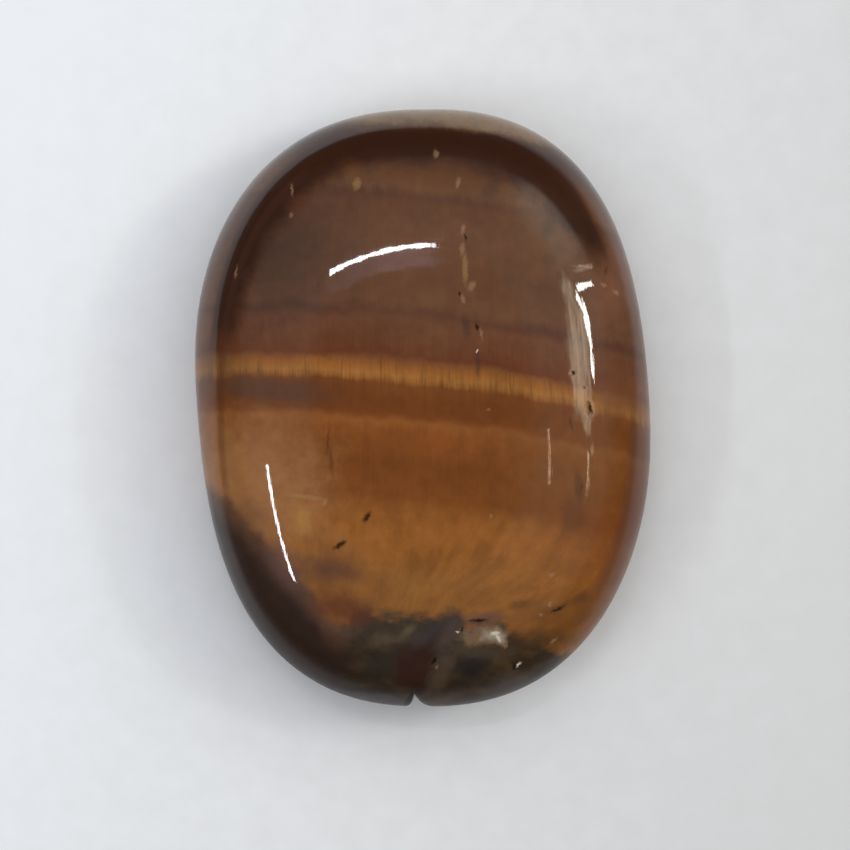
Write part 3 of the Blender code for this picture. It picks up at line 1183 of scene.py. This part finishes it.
    def with_marks(self, desk: NodeDesk, place: Feed, under: Feed,
                   shape: StoneShape) -> tuple[Socket, Socket]:
        """Lays the small marks over the stone, kind by kind.

        Args:
            desk: The node desk.
            place: The place in the stone.
            under: The colour so far.
            shape: The stone's shape.

        Returns:
            The colour with the marks, and how far each place lies in a pit, from 0 to 1.
        """
        jitter = desk.add("ShaderNodeTexNoise", {"Vector": place, "Scale": 4.0, "Detail": 2.0}).outputs[1]
        shaken = desk.vector("MULTIPLY_ADD", jitter, (0.30, 0.30, 0.30), (-0.15, -0.15, -0.15))
        shaken = desk.vector("ADD", place, shaken)
        colour, pitted = under, None
        for kind in MarkKind:
            share = None
            for mark in (m for m in self.marks if m.kind is kind):
                middle = (*mark.middle, shape.height_at(*mark.middle))
                distance = desk.ellipse(shaken, middle, (*mark.halves, MARK_HALF_HEIGHT), mark.turn)
                one = desk.fall(distance, 0.30, 1.30, kind.strength)
                one.node.label = mark.name
                share = one if share is None else desk.math("MAXIMUM", share, one)
            colour = desk.mix(share, colour, seen(*kind.colour))
            if kind is MarkKind.PIT:
                pitted = share
        return colour, pitted

    def relief(self, desk: NodeDesk, place: Feed, hair: Feed) -> Socket:
        """Bump of the polish in millimetres: slow waves and faint fibres.

        Args:
            desk: The node desk.
            place: The place in the stone.
            hair: Noise of the finest fibres.

        Returns:
            The surface's direction with the bump.
        """
        waves = desk.noise(place, (0.55, 0.55, 0.55), 2.0)
        height = desk.total(desk.centred(waves, 0.0012), desk.centred(hair, 0.00025))
        return desk.add("ShaderNodeBump", {"Height": height, "Distance": MM, "Strength": 1.0}).outputs[0]


@dataclass(frozen=True)
class PolishedStone:
    """The one piece: the stone, with its shape and its finish."""

    shape: StoneShape = StoneShape()
    finish: TigerEyeFinish = TigerEyeFinish()

    def build(self) -> bpy.types.Object:
        """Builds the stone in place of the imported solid.

        Returns:
            The stone's object.
        """
        box = tuple(np.array(corner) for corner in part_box("stone"))
        mesh = self.shape.mesh("polished_stone", box)
        mesh.materials.append(self.finish.material(self.shape))
        stone = bpy.data.objects.new("polished_stone", mesh)
        bpy.context.scene.collection.objects.link(stone)
        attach(stone, "root")
        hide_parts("stone")
        return stone


@dataclass(frozen=True)
class Paper:
    """The plain pale paper that the stone lies on, a little lighter on the left, which is painted light and
    shade.

    Attributes:
        radius: Radius of the sheet, in millimetres.
        left: Its colour on a screen at the left of the stone, with painted light in it.
        right: Its colour on a screen at the right of the stone, with painted shade in it.
        reach: How far from the stone's middle the change from one to the other ends.
        slant: How far the change shifts with Y, in millimetres a millimetre.
    """

    radius: float = 3000.0
    left: ScreenColour = (249, 251, 254)
    right: ScreenColour = (220, 220, 220)
    reach: float = 42.0
    slant: float = -0.25

    def build(self) -> bpy.types.Object:
        """Builds the paper as one round sheet just under the stone.

        Returns:
            The paper's object.
        """
        turn = np.linspace(0, 2 * math.pi, 96, endpoint=False)
        ring = np.stack([np.cos(turn), np.sin(turn), 0 * turn], axis=1) * self.radius * MM
        mesh = bpy.data.meshes.new("paper")
        mesh.from_pydata(ring.tolist(), [], [list(range(len(ring)))])
        material = bpy.data.materials.new("matt paper")
        material.use_nodes = True
        desk = NodeDesk(material.node_tree)
        surface = material.node_tree.nodes["Principled BSDF"]
        coordinates = desk.add("ShaderNodeTexCoord", {}).outputs["Object"]
        place = desk.vector("MULTIPLY", coordinates, (1 / MM, 1 / MM, 1 / MM))
        x, y, _ = desk.split(place)
        tooth = desk.centred(desk.noise(place, (0.5, 0.5, 0.5), 4.0), 4.0)
        across = desk.total(x, desk.times(y, self.slant), tooth)
        # Painted light and shade: lighter on the left, darker on the right.
        shade = desk.mix(desk.rise(across, -self.reach, self.reach), seen(*self.left), seen(*self.right))
        desk.feed(surface, {"Base Color": shade, "Roughness": 0.9, "Specular IOR Level": 0.1})
        mesh.materials.append(material)
        paper = bpy.data.objects.new("paper", mesh)
        bpy.context.scene.collection.objects.link(paper)
        return paper


@dataclass(frozen=True)
class Lamp:
    """A flat rectangular lamp that hangs level over the stone and shines down.

    Attributes:
        name: The lamp's name.
        start: X and Y of the middle of one short side, in millimetres.
        end: X and Y of the middle of the other.
        width: Width across that line.
        glow: Brightness of its face, as red, green and blue beside white paper's 0.8.
        mirrored: Whether the polish mirrors it.
        height: How high it hangs.
        folds: How many folds it hangs in, for a curtain with a ragged edge, or 0 for a plain lamp.
    """

    name: str
    start: Pair
    end: Pair
    width: float
    glow: Triple
    mirrored: bool = True
    height: float = 250.0
    folds: float = 0.0

    def build(self) -> bpy.types.Object:
        """Hangs the lamp. Its power is brightness * pi * area.

        Returns:
            The lamp's object.
        """
        run = (self.end[0] - self.start[0], self.end[1] - self.start[1])
        length = math.hypot(*run)
        light = bpy.data.lights.new(self.name, "AREA")
        light.shape = "RECTANGLE"
        light.size, light.size_y = length * MM, self.width * MM
        brightest = max(self.glow)
        light.color = tuple(part / brightest for part in self.glow)
        light.energy = brightest * math.pi * length * self.width * MM * MM
        lamp = bpy.data.objects.new(self.name, light)
        lamp.location = (
            (self.start[0] + self.end[0]) / 2 * MM, (self.start[1] + self.end[1]) / 2 * MM, self.height * MM,
        )
        lamp.rotation_euler = (0, 0, math.atan2(run[1], run[0]))
        lamp.visible_camera = False
        lamp.visible_glossy = self.mirrored
        if self.folds:
            self.hang_in_folds(light)
        bpy.context.scene.collection.objects.link(lamp)
        return lamp

    def hang_in_folds(self, light: bpy.types.AreaLight) -> None:
        """Streaks the lamp's face along its length, and frays its edges.

        Brightness = edge(along) * edge(across) * (0.35 + 1.3 * noise), where an edge rises over a
        fifth of the lamp's size and the noise has the folds across and few waves along.

        Args:
            light: The lamp's light.
        """
        light.use_nodes = True
        desk = NodeDesk(light.node_tree)
        along, across, _ = desk.split(desk.add("ShaderNodeNewGeometry", {}).outputs["Parametric"])
        place = desk.join(along, across, 0.0)
        folds = desk.noise(place, (2.2, self.folds, 1.0), 2.0, 0.6)
        fray = desk.centred(desk.noise(place, (5.0, 3.0, 1.0), 3.0), 0.10)
        brightness = desk.math("MULTIPLY_ADD", desk.rise(folds, 0.30, 0.70), 1.3, 0.35)
        for share in (along, across):
            inset = desk.total(desk.math("PINGPONG", share, 0.5), fray)
            brightness = desk.times(brightness, desk.rise(inset, 0.03, 0.20))
        desk.feed(light.node_tree.nodes["Emission"], {"Strength": brightness})


@dataclass(frozen=True)
class CeilingEdge:
    """A straight edge of the lit ceiling.

    Attributes:
        bearing: Which way the edge lies, in degrees from +X.
        lean: How far from straight up it lies, in degrees.
        soft: How soft it is, in degrees.
    """

    bearing: float
    lean: float
    soft: float


@dataclass(frozen=True)
class Room:
    """The plain room around: a soft lit ceiling with dim walls, and a dim middle over the stone.

    Attributes:
        ceiling: Light of the ceiling, as red, green, blue and 1.
        walls: Light of the walls and of the ceiling's dim middle.
        bright_side: Light of the part of the ceiling by the window.
        dim_middle: How far from straight up the dim middle starts, and where it is full, in degrees.
        horizon: Height of a direction below which it is dark, and above which it may be lit.
        edges: Where the ceiling ends, all round.
        bright_edges: What bounds the bright part, which lies on the far side of each.
    """

    ceiling: Colour = (0.22, 0.23, 0.24, 1.0)
    walls: Colour = (0.08, 0.07, 0.07, 1.0)
    bright_side: Colour = (0.75, 0.85, 0.85, 1.0)
    dim_middle: Pair = (20.0, 13.0)
    horizon: Pair = (0.02, 0.06)
    edges: tuple[CeilingEdge, ...] = (
        CeilingEdge(73, 57, 3),
        CeilingEdge(90, 60, 8),
        CeilingEdge(135, 52, 6),
        CeilingEdge(180, 80, 5),
        CeilingEdge(-155, 60, 8),
        CeilingEdge(-90, 50, 8),
        CeilingEdge(-30, 62, 8),
        CeilingEdge(10, 66, 6),
    )
    bright_edges: tuple[CeilingEdge, ...] = (
        CeilingEdge(45, 40, 7), CeilingEdge(118, 0, 8), CeilingEdge(-30, 0, 5),
    )

    def build(self) -> bpy.types.World:
        """Makes the room's light as a function of direction.

        Each edge is a plane through the stone: direction . (cos b cos l, sin b cos l, -sin l) is
        below 0 on the lit side, with b its bearing and l its lean.

        Returns:
            The world.
        """
        world = bpy.data.worlds.new("plain room")
        world.use_nodes = True
        bpy.context.scene.world = world
        desk = NodeDesk(world.node_tree)
        direction = desk.vector("NORMALIZE", desk.add("ShaderNodeTexCoord", {}).outputs["Generated"])
        up = desk.split(direction)[2]
        near = (self.side(desk, direction, edge, True) for edge in self.edges)
        lit = desk.times(desk.rise(up, *self.horizon), *near)
        bright = desk.times(*(self.side(desk, direction, edge, False) for edge in self.bright_edges))
        middle = desk.rise(up, *(math.cos(math.radians(angle)) for angle in self.dim_middle), 0.9)
        overhead = desk.mix(middle, desk.mix(bright, self.ceiling, self.bright_side), self.walls)
        colour = desk.mix(lit, self.walls, overhead)
        desk.feed(world.node_tree.nodes["Background"], {"Color": colour})
        return world

    def side(self, desk: NodeDesk, direction: Feed, edge: CeilingEdge, near: bool) -> Socket:
        """1 on one side of an edge and 0 on the other.

        Args:
            desk: The node desk.
            direction: The direction looked in.
            edge: The edge.
            near: Whether the side that holds straight up is the one with 1.

        Returns:
            The share of light.
        """
        bearing, lean = math.radians(edge.bearing), math.radians(edge.lean)
        across = (math.cos(bearing) * math.cos(lean), math.sin(bearing) * math.cos(lean), -math.sin(lean))
        past = desk.measure("DOT_PRODUCT", direction, across)
        soft = math.sin(math.radians(edge.soft))
        return desk.fall(past, -soft, soft) if near else desk.rise(past, -soft, soft)


LAMPS = (
    Lamp("tube over the plain end", (-69, 73), (3, 86), 5.5, (30.0, 30.5, 32.0)),
    Lamp("left window strip", (-229, -41), (-226, -178), 13, (26.0, 26.5, 28.0)),
    Lamp("right window, upper corner", (252, 91.5), (294, 79), 12, (24.0, 24.0, 23.0)),
    Lamp("right window, middle", (287, 84), (322, 65), 33, (26.0, 26.0, 25.0)),
    Lamp("right window, foot", (316, 72), (299, 34), 22, (26.0, 26.0, 25.0)),
    Lamp("right window's head", (268, 102), (486, 167), 9, (22.0, 21.5, 20.5)),
    Lamp("right cornice", (250, 121), (668, 273), 15, (2.6, 2.2, 1.7), folds=1.5),
    Lamp("right curtain", (252, 104), (217, -14), 138, (2.9, 2.6, 1.9), folds=9.0),
    Lamp("right sill", (242, -7), (258, -74), 15, (6.6, 5.6, 4.1), folds=2.0),
    Lamp("thin reflector", (102, -4), (113, -37), 2.5, (6.0, 4.8, 3.4)),
    Lamp("glow round the tube", (-78, 64), (14, 82), 36, (0.50, 0.46, 0.64), height=256.0, folds=0.3),
    Lamp("soft top light", (-510, 190), (390, 190), 900, (0.735, 0.745, 0.76), False, 400.0),
    Lamp("soft window light", (260, 200), (700, 200), 440, (1.0, 1.0, 1.02), False, 300.0),
)


@dataclass(frozen=True)
class OverheadCamera:
    """The camera, straight above and pointing straight down, with +Y up the picture.

    Attributes:
        field: Width of the picture at the stone's widest line, in millimetres.
        distance: Height of the lens over that line.
        girdle_height: Height of that line.
        aim: X and Y that the middle of the picture looks at.
        sensor: Width of the sensor.
        clip: The nearest and the furthest that it sees.
    """

    field: float = 57.035
    distance: float = 200.0
    girdle_height: float = 4.0
    aim: Pair = (0.148, -1.167)
    sensor: float = 36.0
    clip: Pair = (10.0, 20000.0)

    def build(self) -> bpy.types.Object:
        """Makes the camera. Its lens is sensor * distance / field.

        Returns:
            The camera's object.
        """
        lens = bpy.data.cameras.new("overhead camera")
        lens.sensor_width = self.sensor
        lens.lens = self.sensor * self.distance / self.field
        lens.clip_start, lens.clip_end = (reach * MM for reach in self.clip)
        camera = bpy.data.objects.new("overhead camera", lens)
        camera.location = (self.aim[0] * MM, self.aim[1] * MM, (self.girdle_height + self.distance) * MM)
        bpy.context.scene.collection.objects.link(camera)
        bpy.context.scene.camera = camera
        return camera


def main() -> None:
    """Builds the stone, the paper, the light and the camera."""
    stone = PolishedStone().build()
    report.info("stone: %d points, %d faces", len(stone.data.vertices), len(stone.data.polygons))
    Paper().build()
    report.info("paper: laid under the stone")
    Room().build()
    for lamp in LAMPS:
        lamp.build()
        report.info("lamp: %s", lamp.name)
    OverheadCamera().build()
    report.info("camera: straight above")
    bpy.context.scene.view_settings.view_transform = "Standard"


if __name__ == "__main__":
    main()
